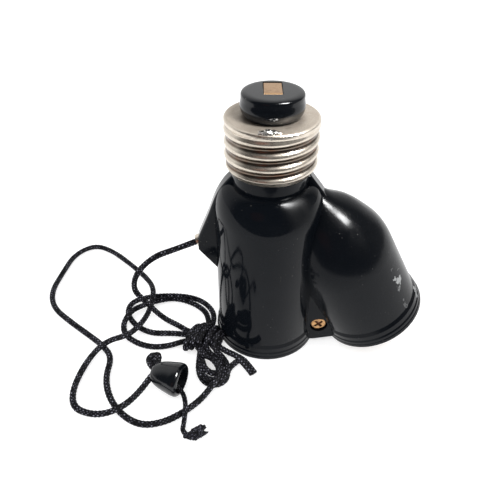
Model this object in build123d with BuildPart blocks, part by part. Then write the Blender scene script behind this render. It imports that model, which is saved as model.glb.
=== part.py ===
from build123d import *
import math
import os

# Two-lamp screw-base adapter with a pull-cord switch. Millimetres, +Z up.
# Origin: centre of the main socket's mouth. +X points to the side socket's arm.

# ------------------------------------------------------------ driving dimensions
thread_major_r = 13.1  # E26 screw base, crest radius
thread_pitch = 25.4 / 7
thread_depth = 1.0
sheet = 0.35  # rolled sheet of the threaded shells

rim_r = 17.45  # widest step of each socket's rim
rim_step_r = 17.3
rim_top_r = 17.05
rim_step_z = 1.75
rim_top_z = 3.3
rim_flare_z = 4.9
rim_h = 6.2
barrel_r = 16.55
shoulder_z = 50.0
collar_r = 11.15
collar_z = 60.25
shell_bottom_z = 64.35
flange_z = 79.5
neck_top_z = 78.9
button_r = 8.65
button_flat_r = 6.5
button_shoulder_r = 8.4
button_neck_r = 7.0
button_top_z = 86.0

arm_tilt = 28.8  # the side socket's axis, from vertical
arm_x = 37.4  # centre of its mouth
rim_bevel = 0.4
arm_z = (rim_r - rim_bevel) * math.sin(math.radians(arm_tilt))
dome_start = 27.0  # along the arm's axis, from its mouth
dome_end = 54.8

mouth_r = 14.6
mouth_depth = 2.0
pocket_r = 14.0
main_pocket = 25.5  # depth of the pocket that holds shell and base
side_pocket = 23.0
base_thick = 3.0
base_r = 13.9
chamber_r = 13.0

fin_thick = 6.0
cord_r = 1.0
exit_x, exit_z = -21.7, 37.7
exit_drop = 25.0  # degrees below horizontal at the bush
bush_r = 2.2
bush_length = 3.0
bush_proud = 0.6

web_half = 9.0
screw_x, screw_z = 17.85, 8.2

strap_y = 9.5
strap_width = 3.0

pivot_x, pivot_z = 1.0, 39.5
pin_r = 1.2
running = 0.05
eye_reach = 9.5
lever_rest = 115.0  # degrees from +X towards +Z about the pivot, where the eye rests
floor_gap = 0.05

# ------------------------------------------------------------ planes and axes
tilt = math.radians(arm_tilt)
arm_dir = Vector(-math.sin(tilt), 0, math.cos(tilt))
arm_out = Vector(math.cos(tilt), 0, math.sin(tilt))
arm_origin = Vector(arm_x, 0, arm_z)
mouth_plane = Plane(origin=arm_origin, x_dir=arm_out, z_dir=arm_dir)
arm_section = Plane(origin=arm_origin, x_dir=arm_out, z_dir=(0, -1, 0))
arm_axis = Axis(arm_origin, arm_dir)

cord_dir = Vector(-math.cos(math.radians(exit_drop)), 0, -math.sin(math.radians(exit_drop)))
exit_point = Vector(exit_x, 0, exit_z)
exit_plane = Plane(origin=exit_point, x_dir=(0, 1, 0), z_dir=cord_dir)

os.makedirs("parts", exist_ok=True)


def save(block, name):
    """Label a finished piece and write it as parts/<name>.step."""
    block.part.label = name
    export_step(block.part, f"parts/{name}.step")


def along(distance):
    """The plane square to the cord's way out, a distance outside the bush's mouth."""
    return exit_plane.offset(distance)


# ------------------------------------------------------------ body halves
rim_outline = [
    (0, 0),
    (rim_r - rim_bevel, 0),
    (rim_r, rim_bevel),
    (rim_r, rim_step_z - 0.35),
    (rim_step_r, rim_step_z),
    (rim_step_r, rim_top_z - 0.6),
    (rim_top_r, rim_top_z),
    (rim_top_r, rim_flare_z),
    (barrel_r, rim_h),
]

with BuildPart() as cord_guide:
    with BuildSketch(Plane.XZ):
        with BuildLine():
            ridge = Spline(
                (-10.9, 62.4),
                (-15.5, 56.3),
                (-18.3, 49.2),
                (-21.9, 40.3),
                tangents=[(-0.7, -0.7), (-0.35, -0.93)],
            )
            Polyline(ridge @ 1, (-21.9, 36.3), (-16.0, 28.6), (-9, 28.6), (-9, 62.4), ridge @ 0)
        make_face()
    extrude(amount=fin_thick / 2, both=True)
    fillet(cord_guide.edges().filter_by(GeomType.BSPLINE), 1.3)

with BuildPart() as arm_fairing:
    with BuildSketch(Plane.XZ):
        with BuildLine():
            Polyline((9, 62.9), (11.3, 62.9), (15.6, 57.2), (18, 53.6), (18, 48), (9, 48), (9, 62.9))
        make_face()
    extrude(amount=fin_thick / 2, both=True)
    fillet(arm_fairing.edges().filter_by(Axis.Y), 1.0)
    fillet(arm_fairing.edges().group_by(Axis.Y)[0] + arm_fairing.edges().group_by(Axis.Y)[-1], 0.9)

with BuildPart() as body:
    with BuildSketch(Plane.XZ):
        with BuildLine():
            Polyline(*rim_outline, (barrel_r, shoulder_z))
            EllipticalCenterArc(
                (collar_r, shoulder_z),
                barrel_r - collar_r,
                collar_z - shoulder_z,
                start_angle=0,
                arc_size=90,
            )
            Polyline((collar_r, collar_z), (collar_r, neck_top_z), (0, neck_top_z), (0, 0))
        make_face()
    revolve(axis=Axis.Z)
    with BuildSketch(arm_section):
        with BuildLine():
            Polyline(*rim_outline, (barrel_r, dome_start))
            Spline(
                (barrel_r, dome_start),
                (15.7, 34.3),
                (13.35, 40.2),
                (9.9, 46.2),
                (5.96, 50.7),
                (0, dome_end),
                tangents=[(0, 1), (-1, 0.15)],
            )
            Polyline((0, dome_end), (0, 0))
        make_face()
    revolve(axis=arm_axis)
    # web across the crotch, between the two barrels
    with BuildSketch(Plane.XZ):
        with BuildLine():
            Polyline((10, 1.4), (16.5, 1.4), (24, 2.9), (31, 14), (10, 26), (10, 1.4))
        make_face()
    extrude(amount=web_half, both=True)
    add(cord_guide.part)
    add(arm_fairing.part)
    # socket pocket, switch chamber and feed-rod bore of the main barrel
    with BuildSketch(Plane.XZ):
        with BuildLine():
            Polyline(
                (0, 0),
                (mouth_r, 0),
                (mouth_r, mouth_depth),
                (pocket_r, mouth_depth),
                (pocket_r, main_pocket),
                (chamber_r, main_pocket),
                (chamber_r, 48),
                (8.6, 56),
                (2.2, 58),
                (2.2, neck_top_z),
                (0, neck_top_z),
                (0, 0),
            )
        make_face()
    revolve(axis=Axis.Z, mode=Mode.SUBTRACT)
    # socket pocket and wiring space of the side arm
    with BuildSketch(arm_section):
        with BuildLine():
            Polyline(
                (0, 0),
                (mouth_r, 0),
                (mouth_r, mouth_depth),
                (pocket_r, mouth_depth),
                (pocket_r, side_pocket),
                (chamber_r, side_pocket),
                (chamber_r, 34),
                (10.6, 40),
                (7.0, 46),
                (0, 49),
                (0, 0),
            )
        make_face()
    revolve(axis=arm_axis, mode=Mode.SUBTRACT)
    # cord channel through the fin, and the bush's seat at its mouth
    with BuildSketch(along(0)):
        Circle(1.8)
    extrude(amount=-14, mode=Mode.SUBTRACT)
    with BuildSketch(along(2)):
        Circle(bush_r)
    extrude(amount=-(bush_length + 2), mode=Mode.SUBTRACT)
    # crotch screw hole, head recess in front and nut pocket behind
    with BuildSketch(Plane.XZ.offset(web_half)):
        with Locations((screw_x, screw_z)):
            Circle(2.95)
    extrude(amount=-1.9, mode=Mode.SUBTRACT)
    with BuildSketch(Plane.XZ.offset(web_half)):
        with Locations((screw_x, screw_z)):
            Circle(1.65)
    extrude(amount=-2 * web_half, mode=Mode.SUBTRACT)
    with BuildSketch(Plane.XZ.offset(-web_half)):
        with Locations((screw_x, screw_z)):
            Rectangle(5.3, 5.3)
    extrude(amount=2.6, mode=Mode.SUBTRACT)
    # channel for the neutral strap up the back of the neck, open inside the screw base
    with BuildSketch(Plane.XY.offset(46)):
        with Locations((0, strap_y)):
            Rectangle(strap_width + 0.8, 1.2)
    extrude(amount=22, mode=Mode.SUBTRACT)
    with BuildSketch(Plane.XY.offset(shell_bottom_z + 1.2)):
        with Locations((0, strap_y + 1)):
            Rectangle(strap_width + 0.8, 2.2)
    extrude(amount=3.4, mode=Mode.SUBTRACT)

with BuildPart() as front_shell:
    add(body.part)
    split(bisect_by=Plane.XZ, keep=Keep.TOP)
save(front_shell, "front_shell")

with BuildPart() as rear_shell:
    add(body.part)
    split(bisect_by=Plane.XZ, keep=Keep.BOTTOM)
save(rear_shell, "rear_shell")

# ------------------------------------------------------------ screw base
def thread_line(start_z, halves, inset, down):
    """Add the rounded crests and roots of a rolled thread, and return the end's height.

    The halves are crest, root, crest and so on, each half a pitch, drawn as rings. inset
    moves the line inwards from the crest radius of the outer face.
    """
    quarter = thread_pitch / 4
    crest = thread_major_r - inset
    middle = crest - thread_depth / 2
    root = crest - thread_depth
    z = start_z
    step = -quarter if down else quarter
    for half in range(halves):
        peak = crest if half % 2 == 0 else root
        ThreePointArc((middle, z), (peak, z + step), (middle, z + 2 * step))
        z += 2 * step
    return z


first_turn_z = flange_z - 1.7
shell_foot_r = 11.85
flange_hole_r = button_neck_r + 0.1
with BuildPart() as screw_shell:
    with BuildSketch(Plane.XZ):
        with BuildLine():
            middle = thread_major_r - thread_depth / 2
            end_z = thread_line(first_turn_z, 7, 0, True)
            Polyline(
                (middle, end_z),
                (shell_foot_r, shell_bottom_z),
                (shell_foot_r - sheet, shell_bottom_z),
                (middle - sheet, end_z),
            )
            thread_line(end_z, 7, sheet, False)
            Polyline((middle - sheet, first_turn_z), (11.75, flange_z - sheet), (flange_hole_r, flange_z - sheet))
            Polyline((flange_hole_r, flange_z - sheet), (flange_hole_r, flange_z), (12.1, flange_z))
            Line((12.1, flange_z), (12.5, flange_z - 0.5))
            Line((12.5, flange_z - 0.5), (middle, first_turn_z))
        make_face()
    revolve(axis=Axis.Z)
save(screw_shell, "screw_shell")

strip_width = 4.7
strip_thick = 0.5
strip_middle_y = 1.6
strip_half = 4.0
slot_depth = 0.9
with BuildPart() as centre_insulator:
    with BuildSketch(Plane.XZ):
        with BuildLine():
            Polyline(
                (0, neck_top_z),
                (button_neck_r, neck_top_z),
                (button_neck_r, flange_z),
                (button_neck_r + 0.3, flange_z),
            )
            Spline(
                (button_neck_r + 0.3, flange_z),
                (button_shoulder_r, flange_z + 1.5),
                (button_r, flange_z + 3.1),
                (button_shoulder_r, flange_z + 4.9),
                (button_flat_r, button_top_z),
                tangents=[(1, 0.6), (-1, 0)],
            )
            Polyline((button_flat_r, button_top_z), (0, button_top_z), (0, neck_top_z))
        make_face()
    revolve(axis=Axis.Z)
    with BuildSketch(Plane.XY.offset(button_top_z)):
        with Locations((0, strip_middle_y)):
            Rectangle(strip_width + 0.5, 2 * strip_half + 0.8)
    extrude(amount=-slot_depth, mode=Mode.SUBTRACT)
    with BuildSketch(Plane.XY.offset(button_top_z)):
        Circle(1.7)
    extrude(amount=-8, mode=Mode.SUBTRACT)
    with BuildSketch(Plane.XY.offset(button_top_z)):
        with Locations((0, strip_middle_y - strip_half), (0, strip_middle_y + strip_half)):
            Rectangle(strip_width + 0.2, 1.0)
    extrude(amount=-4.5, mode=Mode.SUBTRACT)
save(centre_insulator, "centre_insulator")

with BuildPart() as centre_contact_strip:
    with BuildSketch(Plane.YZ):
        with BuildLine():
            strip_path = FilletPolyline(
                (strip_middle_y - strip_half, button_top_z - 4.0),
                (strip_middle_y - strip_half, button_top_z - 0.2),
                (strip_middle_y + strip_half, button_top_z - 0.2),
                (strip_middle_y + strip_half, button_top_z - 4.0),
                radius=0.6,
            )
            offset(strip_path, amount=strip_thick / 2)
        make_face()
    extrude(amount=strip_width / 2, both=True)
save(centre_contact_strip, "centre_contact_strip")

with BuildPart() as feed_rod:
    with BuildSketch(Plane.XY.offset(50.5)):
        Circle(1.6)
    extrude(amount=button_top_z - 0.45 - 50.5)
    with BuildSketch(Plane.XY.offset(50.5)):
        Circle(2.1)
    extrude(amount=1.2)
save(feed_rod, "feed_rod")

with BuildPart() as solder_joint:
    with BuildSketch(Plane.XY.offset(flange_z)):
        with Locations((-0.6, -10.7)):
            Ellipse(2.4, 1.3)
    extrude(amount=0.9, taper=25)
    fillet(solder_joint.faces().sort_by(Axis.Z)[-1].edges(), 0.3)
save(solder_joint, "solder_joint")


# ------------------------------------------------------------ lamp sockets
def socket_frame(side):
    """Planes of one socket: its mouth, the section through its axis, and the axis."""
    if side:
        return mouth_plane, arm_section, arm_axis
    return Plane.XY, Plane.XZ, Axis.Z


shell_start = 2.1
shell_inner_r = 12.45
skirt_r = 13.3
for side, prefix, pocket in ((False, "main", main_pocket), (True, "side", side_pocket)):
    mouth, section, axis = socket_frame(side)
    base_low = pocket - base_thick
    top = base_low
    with BuildPart() as socket_shell:
        with BuildSketch(section):
            with BuildLine():
                quarter = thread_pitch / 4
                turns = 3
                turn_start = top - 2.2 - turns * thread_pitch
                middle = shell_inner_r + 0.45
                z = turn_start
                for turn in range(2 * turns):
                    peak = shell_inner_r if turn % 2 == 0 else shell_inner_r + 0.9
                    ThreePointArc((middle, z), (peak, z + quarter), (middle, z + 2 * quarter))
                    z += 2 * quarter
                Polyline((middle, z), (middle, top - sheet), (9.0, top - sheet), (9.0, top))
                Polyline((9.0, top), (middle + sheet, top), (middle + sheet, z))
                for turn in range(2 * turns):
                    peak = shell_inner_r if turn % 2 else shell_inner_r + 0.9
                    ThreePointArc(
                        (middle + sheet, z),
                        (peak + sheet, z - quarter),
                        (middle + sheet, z - 2 * quarter),
                    )
                    z -= 2 * quarter
                Polyline(
                    (middle + sheet, z),
                    (skirt_r + sheet, z - 0.5),
                    (skirt_r + sheet, shell_start),
                    (skirt_r, shell_start),
                    (skirt_r, z - 0.5),
                    (middle, z),
                )
            make_face()
        revolve(axis=axis)
        with BuildSketch(mouth.offset(top - 1)):
            with Locations((0, 10.6), (0, -10.6)):
                Circle(1.15)
        extrude(amount=2, mode=Mode.SUBTRACT)
    save(socket_shell, f"{prefix}_socket_shell")

    with BuildPart() as socket_base:
        with BuildSketch(mouth.offset(base_low)):
            Circle(base_r)
            with Locations((0, 10.6), (0, -10.6)):
                Circle(1.15, mode=Mode.SUBTRACT)
            with Locations((-5.2, 0)):
                Circle(1.25, mode=Mode.SUBTRACT)
        extrude(amount=base_thick)
    save(socket_base, f"{prefix}_socket_base")

    with BuildPart() as shell_screws:
        for y in (10.6, -10.6):
            with BuildSketch(mouth.offset(base_low - sheet - 0.9)):
                with Locations((0, y)):
                    Circle(1.9)
            extrude(amount=0.9)
            with BuildSketch(mouth.offset(base_low - sheet)):
                with Locations((0, y)):
                    Circle(1.1)
            extrude(amount=base_thick + sheet + 0.8)
    save(shell_screws, f"{prefix}_shell_screws")

    with BuildPart() as contact_rivet:
        with BuildSketch(mouth.offset(base_low - 1.2)):
            with Locations((-5.2, 0)):
                Circle(2.0)
        extrude(amount=0.7)
        with BuildSketch(mouth.offset(base_low - 0.5)):
            with Locations((-5.2, 0)):
                Circle(1.2)
        extrude(amount=base_thick + 1.0)
        with BuildSketch(mouth.offset(pocket + 0.5)):
            with Locations((-5.2, 0)):
                Circle(2.0)
        extrude(amount=0.6)
    save(contact_rivet, f"{prefix}_contact_rivet")

    # a sprung leaf: flat under the rivet, dipping to the lamp's centre contact
    with BuildPart() as centre_contact:
        with BuildSketch(section):
            with BuildLine():
                leaf_path = FilletPolyline(
                    (-7.4, base_low - 0.25),
                    (-2.2, base_low - 0.25),
                    (1.2, base_low - 3.2),
                    (5.0, base_low - 1.6),
                    radius=1.2,
                )
                offset(leaf_path, amount=0.225)
            make_face()
        extrude(amount=2.5, both=True)
        with BuildSketch(mouth.offset(base_low - 0.7)):
            with Locations((-5.2, 0)):
                Circle(1.25)
        extrude(amount=1, mode=Mode.SUBTRACT)
    save(centre_contact, f"{prefix}_centre_contact")

# ------------------------------------------------------------ crotch screw and nut
head_front = web_half - 0.7
recess_long = 3.5
recess_wide = 0.85
recess_turn = 42  # the cross stands as an X
with BuildPart() as crotch_screw:
    with BuildSketch(Plane.XZ.offset(head_front)):
        with Locations((screw_x, screw_z)):
            Circle(2.7)
    extrude(amount=-1.15)
    fillet(crotch_screw.faces().sort_by(Axis.Y)[0].edges(), 0.5)
    with BuildSketch(Plane.XZ.offset(head_front)):
        with Locations((screw_x, screw_z)):
            Rectangle(recess_long, recess_wide, rotation=recess_turn)
            Rectangle(recess_wide, recess_long, rotation=recess_turn)
    extrude(amount=-0.75, mode=Mode.SUBTRACT)
    with BuildSketch(Plane.XZ.offset(head_front - 1.15)):
        with Locations((screw_x, screw_z)):
            Circle(1.5)
    extrude(amount=-15.0)
save(crotch_screw, "crotch_screw")

with BuildPart() as crotch_nut:
    with BuildSketch(Plane.XZ.offset(-(web_half - 2.5))):
        with Locations((screw_x, screw_z)):
            Rectangle(5.1, 5.1)
            Circle(1.55, mode=Mode.SUBTRACT)
    extrude(amount=-1.8)
save(crotch_nut, "crotch_nut")

# ------------------------------------------------------------ switch
pivot = Vector(pivot_x, 0, pivot_z)


def disc(low_y, high_y, radius, mode=Mode.ADD):
    """A disc about the pivot, from low_y to high_y."""
    with Locations(Location((pivot_x, (low_y + high_y) / 2, pivot_z), (90, 0, 0))):
        Cylinder(radius, high_y - low_y, mode=mode)


def on_pivot(angle, reach):
    """A point in XZ at an angle (degrees from +X towards +Z) and a reach from the pivot."""
    a = math.radians(angle)
    return (pivot_x + reach * math.cos(a), pivot_z + reach * math.sin(a))


ear_y = 8.2
ear_thick = 0.8
with BuildPart() as switch_frame:
    with BuildSketch(Plane.XY.offset(main_pocket)):
        with Locations((pivot_x, 0)):
            Rectangle(9, 2 * ear_y)
        with Locations((-5.2, 0)):
            Circle(2.6, mode=Mode.SUBTRACT)
    extrude(amount=ear_thick)
    for low in (-ear_y, ear_y - ear_thick):
        with BuildSketch(Plane.XZ.offset(-(low + ear_thick))):
            with BuildLine():
                Polyline(
                    (pivot_x - 4.5, main_pocket),
                    (pivot_x + 4.5, main_pocket),
                    (pivot_x + 2.6, pivot_z + 0.6),
                    (pivot_x - 2.6, pivot_z + 0.6),
                    (pivot_x - 4.5, main_pocket),
                )
            make_face()
            with Locations((pivot_x, pivot_z)):
                Circle(2.6)
                Circle(pin_r, mode=Mode.SUBTRACT)
        extrude(amount=ear_thick)
save(switch_frame, "switch_frame")

with BuildPart() as pivot_pin:
    disc(-ear_y - 0.9, ear_y + 0.6, pin_r)
    disc(-ear_y - 0.9, -ear_y, 2.0)
    disc(ear_y, ear_y + 0.6, 1.7)
save(pivot_pin, "pivot_pin")

drum_r = 6.2
wheel_r = 6.6
teeth = 8
tooth_face = 76.0  # degrees, the tooth face that the pawl pushes at rest
drum_low, drum_high = -1.4, 4.2
with BuildPart() as switch_rotor:
    disc(drum_low, drum_high, drum_r)
    disc(drum_low, drum_high, pin_r + running, Mode.SUBTRACT)
    with BuildSketch(Plane.XZ.offset(-3.6)):
        with Locations((pivot_x, pivot_z)):
            Rectangle(2 * drum_r + 2, 4.0)
            Rectangle(2 * drum_r - 2.4, 4.0, mode=Mode.SUBTRACT)
    extrude(amount=3.6, mode=Mode.SUBTRACT)
save(switch_rotor, "switch_rotor")

with BuildPart() as rotor_contacts:
    with BuildSketch(Plane.XZ.offset(-3.6)):
        with Locations((pivot_x, pivot_z)):
            Circle(drum_r + 0.25)
            Rectangle(2 * drum_r - 2.4, 4.0, mode=Mode.SUBTRACT)
            Rectangle(2 * drum_r + 2, 4.0, mode=Mode.INTERSECT)
    extrude(amount=3.6)
save(rotor_contacts, "rotor_contacts")

with BuildPart() as ratchet_wheel:
    with BuildSketch(Plane.XZ.offset(-drum_low)):
        with BuildLine():
            corners = []
            for tooth in range(teeth):
                start = tooth_face + 360 / teeth * tooth
                corners.append(on_pivot(start, wheel_r - 1.5))
                corners.append(on_pivot(start + 1.5, wheel_r))
            Polyline(*corners, corners[0])
        make_face()
        with Locations((pivot_x, pivot_z)):
            Circle(pin_r + running, mode=Mode.SUBTRACT)
    extrude(amount=1.2)
save(ratchet_wheel, "ratchet_wheel")

lever_low, lever_high = -4.4, -3.2
eye = on_pivot(lever_rest, eye_reach)
pawl_angle = tooth_face - 23
pawl_at = on_pivot(pawl_angle, 8.9)
with BuildPart() as pull_lever:
    disc(lever_low, lever_high, 3.1)
    for end, end_r in ((eye, 2.1), (pawl_at, 1.7)):
        reach = math.dist(end, (pivot_x, pivot_z))
        turn = math.degrees(math.atan2(end[1] - pivot_z, end[0] - pivot_x))
        with BuildSketch(Plane.XZ.offset(-lever_high)):
            with Locations((pivot_x, pivot_z)):
                with Locations(Rotation(0, 0, turn) * Pos(reach / 2 + 1, 0)):
                    Rectangle(reach - 2.4, 2.6)
            with Locations(end):
                Circle(end_r)
        extrude(amount=lever_high - lever_low)
    with BuildSketch(Plane.XZ.offset(-lever_high)):
        with Locations(eye):
            Circle(cord_r + 0.15)
        with Locations(pawl_at):
            Circle(0.6)
    extrude(amount=lever_high - lever_low, mode=Mode.SUBTRACT)
    disc(lever_low, lever_high, pin_r + running, Mode.SUBTRACT)
save(pull_lever, "pull_lever")

with BuildPart() as drive_pawl:
    with BuildSketch(Plane.XZ.offset(-drum_low)):
        with BuildLine():
            Polyline(
                on_pivot(pawl_angle - 3, 7.7),
                on_pivot(pawl_angle + 3, 10.1),
                on_pivot(tooth_face - 1.8, 7.0),
                on_pivot(tooth_face - 2.2, wheel_r - 1.1),
                on_pivot(tooth_face - 10, 6.3),
                on_pivot(pawl_angle - 3, 7.7),
            )
        make_face()
        with Locations(pawl_at):
            Circle(1.4)
            Circle(0.6, mode=Mode.SUBTRACT)
    extrude(amount=1.2)
save(drive_pawl, "drive_pawl")

with BuildPart() as pawl_pin:
    with BuildSketch(Plane.XZ.offset(-drum_low)):
        with Locations(pawl_at):
            Circle(0.6)
    extrude(amount=drum_low - lever_low + 0.5)
save(pawl_pin, "pawl_pin")

spring_turns = 3
spring_pitch = 0.72
with BuildPart() as return_spring:
    with BuildLine():
        coil_line = Helix(
            pitch=spring_pitch,
            height=spring_pitch * spring_turns,
            radius=2.3,
            center=(pivot_x, -4.8, pivot_z),
            direction=(0, -1, 0),
        )
    with BuildSketch(Plane(origin=coil_line @ 0, z_dir=coil_line % 0)):
        Circle(0.3)
    sweep(is_frenet=True)
save(return_spring, "return_spring")


def finger(points, low_y, high_y, name):
    """A sprung contact finger, bent from strip in the XZ plane."""
    with BuildPart() as contact:
        with BuildSketch(Plane.XZ.offset(-high_y)):
            with BuildLine():
                finger_path = FilletPolyline(*points, radius=0.9)
                offset(finger_path, amount=0.2)
            make_face()
        extrude(amount=high_y - low_y)
    save(contact, name)


touch_r = drum_r + 0.75  # a finger's centreline where it bears on the rotor
feed_touch = on_pivot(97, touch_r)
finger(
    [(2.0, 50.2), (-3.8, 50.2), (-3.8, 48.0), feed_touch, (feed_touch[0] + 3, feed_touch[1] + 0.8)],
    0.6,
    3.2,
    "feed_contact",
)
main_touch = on_pivot(180, touch_r)
finger(
    [(-3.4, main_pocket + 1.3), (-8.6, main_pocket + 1.3), (-8.6, 34.5), main_touch, (-6.9, 42.2)],
    0.4,
    3.2,
    "main_fixed_contact",
)
side_touch = on_pivot(0, touch_r)
finger(
    [(11.4, main_pocket + 0.3), (11.4, 33.0), side_touch, (8.9, 42.2)],
    0.4,
    3.2,
    "side_fixed_contact",
)

# strap from the screw shell down the back of the neck to the main socket's shell screw
with BuildPart() as neutral_strap:
    with BuildSketch(Plane.YZ):
        with BuildLine():
            strap_path = FilletPolyline(
                (9.0, main_pocket + 1.1),
                (12.2, main_pocket + 1.1),
                (12.2, 43.0),
                (strap_y, 48.0),
                (strap_y, shell_bottom_z + 1.6),
                (11.3, shell_bottom_z + 2.8),
                radius=0.8,
            )
            offset(strap_path, amount=0.25)
        make_face()
    extrude(amount=strap_width / 2, both=True)
    with BuildSketch(Plane.XY.offset(main_pocket)):
        with Locations((0, 10.6)):
            Circle(1.15)
    extrude(amount=2, mode=Mode.SUBTRACT)
save(neutral_strap, "neutral_strap")

side_rivet_top = mouth_plane.offset(side_pocket + 1.1).from_local_coords(Vector(-5.2, 0, 0))

with BuildPart() as side_lead:
    with BuildLine():
        lead_path = FilletPolyline(
            side_rivet_top + arm_dir * 0.02,
            side_rivet_top + arm_dir * 6,
            Vector(13.6, -5.0, 41.0),
            Vector(12.5, -1.0, 33.0),
            Vector(12.35, 1.6, main_pocket + 4.2),
            radius=1.8,
        )
    with BuildSketch(Plane(origin=lead_path @ 0, z_dir=lead_path % 0)):
        Circle(0.7)
    sweep()
save(side_lead, "side_lead")

# ------------------------------------------------------------ cord inside the body
with BuildPart() as cord_bush:
    with BuildSketch(along(bush_proud)):
        Circle(bush_r - 0.02)
        Circle(cord_r + 0.25, mode=Mode.SUBTRACT)
    extrude(amount=-(bush_length + bush_proud - 0.05))
save(cord_bush, "cord_bush")

with BuildPart() as lever_knot:
    with Locations(Location((eye[0], lever_low - 1.8, eye[1]))):
        Sphere(1.75)
    with BuildSketch(Plane.XZ.offset(-lever_high - 0.3)):
        with Locations(eye):
            Circle(cord_r)
    extrude(amount=lever_high - lever_low + 1.3)
save(lever_knot, "lever_knot")

with BuildPart() as inner_cord:
    with BuildLine():
        inner_path = FilletPolyline(
            Vector(eye[0], lever_high + 0.3, eye[1]),
            Vector(eye[0], lever_high + 2.0, eye[1]),
            exit_point - cord_dir * 10.5,
            exit_point + cord_dir * bush_proud,
            radius=[1.3, 12.0],
        )
    with BuildSketch(Plane(origin=inner_path @ 0, z_dir=inner_path % 0)):
        Circle(cord_r - 0.02)
    sweep()
save(inner_cord, "inner_cord")


# ------------------------------------------------------------ free pull cord
def corner_radii(points):
    """The largest tangent arc at each inner corner: 0.45 of the shorter run."""
    radii = []
    for before, at, after in zip(points, points[1:], points[2:]):
        half_turn = math.radians((at - before).get_angle(after - at)) / 2
        shorter = min((at - before).length, (after - at).length)
        radii.append(0.45 * shorter / math.tan(half_turn))
    return radii


def on_floor(route):
    """Route points as vectors; a point with no height lies on the floor."""
    low = cord_r + floor_gap
    return [Vector(p[0], p[1], p[2] if len(p) > 2 else low) for p in route]


# from the bush, down in a sagging arc, to the floor inside the small turns and the bundle
lead_route = [
    exit_point + cord_dir * bush_proud,
    exit_point + cord_dir * 8.5,
    Vector(-37.6, 0.2, 30.5),
    Vector(-44.4, 0.6, 22.8),
    Vector(-46.6, 1.2, 14.8),
    Vector(-43.6, 1.4, 9.4),
    Vector(-37.4, 0.3, cord_r + 0.4),
    Vector(-31.6, -3.2, cord_r + 0.6),
    Vector(-26.8, -7.4, 2.4),
]

# from the eye's lower end, round the floor, over itself and the small turns, to the knob
run_route = on_floor(
    [
        (-15.6, -26.6),
        (-21.0, -34.0),
        (-28.2, -40.2),
        (-37.6, -43.2),
        (-46.2, -39.8),
        (-51.6, -31.8),
        (-52.6, -23.2),
        (-52.4, -15.8),
        (-60.6, -8.8),
        (-71.0, -2.2),
        (-81.0, 3.6),
        (-85.2, 14.4),
        (-82.4, 27.0),
        (-80.0, 38.6),
        (-72.6, 45.2),
        (-63.4, 40.4),
        (-55.0, 31.2),
        (-48.2, 23.2),
        (-43.9, 14.6, 4.7),
        (-43.2, 4.6, 4.8),
        (-44.0, -4.8, 4.8),
        (-48.4, -10.4, 4.9),
        (-56.6, -13.4, 3.9),
        (-61.8, -20.0),
        (-63.8, -30.4),
        (-59.8, -38.4),
        (-51.0, -40.8, 3.7),
        (-43.2, -38.0, 3.7),
        (-40.2, -32.8, 2.4),
        (-37.0, -27.6, 4.4),
    ]
)

# out of the knob's mouth, over the long run, to the knot at the cord's end
tail_route = on_floor(
    [
        (-30.2, -28.7, 5.2),
        (-26.9, -30.8, 4.5),
        (-25.2, -34.4, 4.3),
        (-24.6, -38.4, 4.3),
        (-25.2, -42.2),
        (-25.4, -45.2),
        (-22.6, -46.4),
    ]
)

# the tied bundle's cut end, lying along the rim
cut_end_route = on_floor(
    [
        (-17.6, -12.6, 1.8),
        (-13.2, -15.2, 1.6),
        (-9.2, -17.6),
        (-4.6, -23.4),
    ]
)

for route, name in (
    (lead_route, "pull_cord_lead"),
    (run_route, "pull_cord_run"),
    (tail_route, "pull_cord_tail"),
    (cut_end_route, "bundle_cut_end"),
):
    radii = corner_radii(route)
    with BuildPart() as cord_tube:
        with BuildLine():
            cord_path = FilletPolyline(*route, radius=radii)
        with BuildSketch(Plane(origin=cord_path @ 0, z_dir=cord_path % 0)):
            Circle(cord_r)
        sweep()
    save(cord_tube, name)
    expected = math.pi * cord_r**2 * cord_path.length
    print(name, "length", round(cord_path.length, 1), "radii", [round(r, 1) for r in radii])
    print(name, "volume over section times length", round(cord_tube.part.volume / expected, 4))

turns_high = 3.6
with BuildPart() as cord_turns:
    with BuildSketch():
        with Locations((-34.7, -0.4)):
            Ellipse(16.9, 13.0)
        with Locations((-35.2, 2.0)):
            Ellipse(13.8, 7.1, mode=Mode.SUBTRACT)
    extrude(amount=turns_high)
    fillet(cord_turns.edges().filter_by(GeomType.ELLIPSE), 0.9)
save(cord_turns, "cord_turns")

with BuildPart() as cord_bundle:
    with BuildSketch():
        with Locations(Location((-21.6, -9.9), -8)):
            Ellipse(6.3, 4.5)
    extrude(amount=5.4)
    fillet(cord_bundle.edges().filter_by(GeomType.ELLIPSE), 1.6)
save(cord_bundle, "cord_bundle")

with BuildPart() as bundle_eye:
    with BuildSketch():
        with Locations(Location((-17.9, -21.0), 115.0)):
            Ellipse(7.9, 5.2)
            Ellipse(3.3, 1.4, mode=Mode.SUBTRACT)
    extrude(amount=3.9)
    fillet(bundle_eye.edges().filter_by(GeomType.ELLIPSE), 1.0)
save(bundle_eye, "bundle_eye")

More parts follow.
